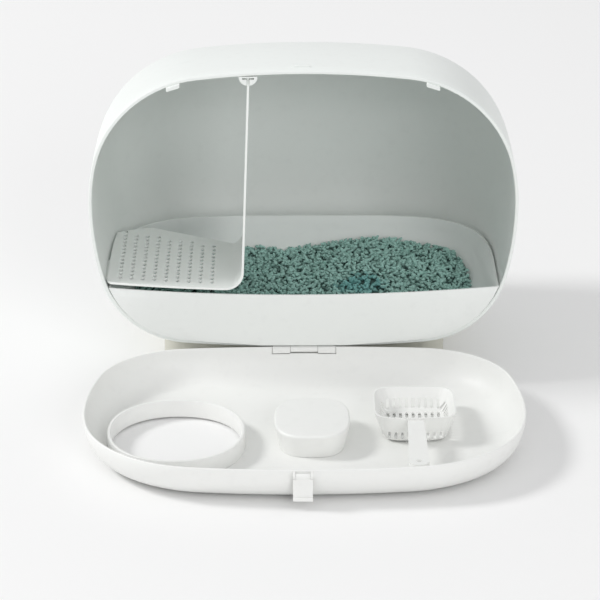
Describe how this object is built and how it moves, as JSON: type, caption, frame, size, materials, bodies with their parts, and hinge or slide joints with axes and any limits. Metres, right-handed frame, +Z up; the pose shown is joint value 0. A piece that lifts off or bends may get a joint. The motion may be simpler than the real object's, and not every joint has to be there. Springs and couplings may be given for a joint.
{
  "type": "drawer litter box",
  "caption": "Pebble-shaped litter box with a fold-down dished door, litter drawer, perforated step behind a divider, scoop and deodoriser case.",
  "frame": {"origin": "on the floor under the middle of the whole open object, halfway between the latch's hook and the shell's back", "axes": "+X to the right as seen from the front, +Y towards the back of the shell, +Z up"},
  "size_m": [0.58, 0.7714, 0.447],
  "materials": {
    "shell_plastic": "satin moulded white",
    "stand_plastic": "satin moulded pale grey",
    "foot_rubber": "matte",
    "steel": "bright drawn wire",
    "divider_plastic": "satin moulded white",
    "drawer_plastic": "satin moulded white",
    "litter": "rough crumbly pellets",
    "door_plastic": "satin moulded white",
    "latch_plastic": "satin moulded white",
    "scoop_plastic": "satin moulded white",
    "case_plastic": "satin moulded white",
    "carbon": "matte pressed carbon"
  },
  "bodies": {
    "housing": {"shell": "shell_plastic", "stand": "stand_plastic", "stand_feet": "foot_rubber", "stand_screws": "steel", "divider_clip": "shell_plastic", "hinge_pin": "steel"},
    "divider": {"divider_step": "divider_plastic"},
    "drawer": {"drawer": "drawer_plastic", "litter_bed": "litter"},
    "door": {"door_panel": "door_plastic", "entrance_collar": "door_plastic", "latch_pin": "steel"},
    "latch": {"latch": "latch_plastic"},
    "scoop": {"scoop": "scoop_plastic"},
    "case": {"case_base": "case_plastic", "case_block": "carbon"},
    "case_lid": {"case_cover": "case_plastic"}
  },
  "joints": [
    {"name": "door_fold", "type": "hinge", "parent": "housing", "child": "door", "pos_m": [0, 0.02084, 0.047], "axis": [1, 0, 0], "range_deg": [-90, 0]},
    {"name": "drawer_slide", "type": "slide", "parent": "housing", "child": "drawer", "axis": [0, -1, 0], "range_m": [0, 0.28]},
    {"name": "divider_slide", "type": "slide", "parent": "housing", "child": "divider", "axis": [0, -1, 0], "range_m": [0, 0.24]},
    {"name": "latch_flip", "type": "hinge", "parent": "door", "child": "latch", "pos_m": [-0.0025, -0.38166, 0.0455], "axis": [-1, 0, 0], "range_deg": [-5, 180]},
    {"name": "scoop_lift", "type": "slide", "parent": "door", "child": "scoop", "axis": [0, 0, -1], "range_m": [-0.06, 0]},
    {"name": "case_lift", "type": "slide", "parent": "door", "child": "case", "axis": [0, 0, -1], "range_m": [-0.06, 0]},
    {"name": "case_open", "type": "slide", "parent": "case", "child": "case_lid", "axis": [0, 0, -1], "range_m": [-0.04, 0]}
  ]
}
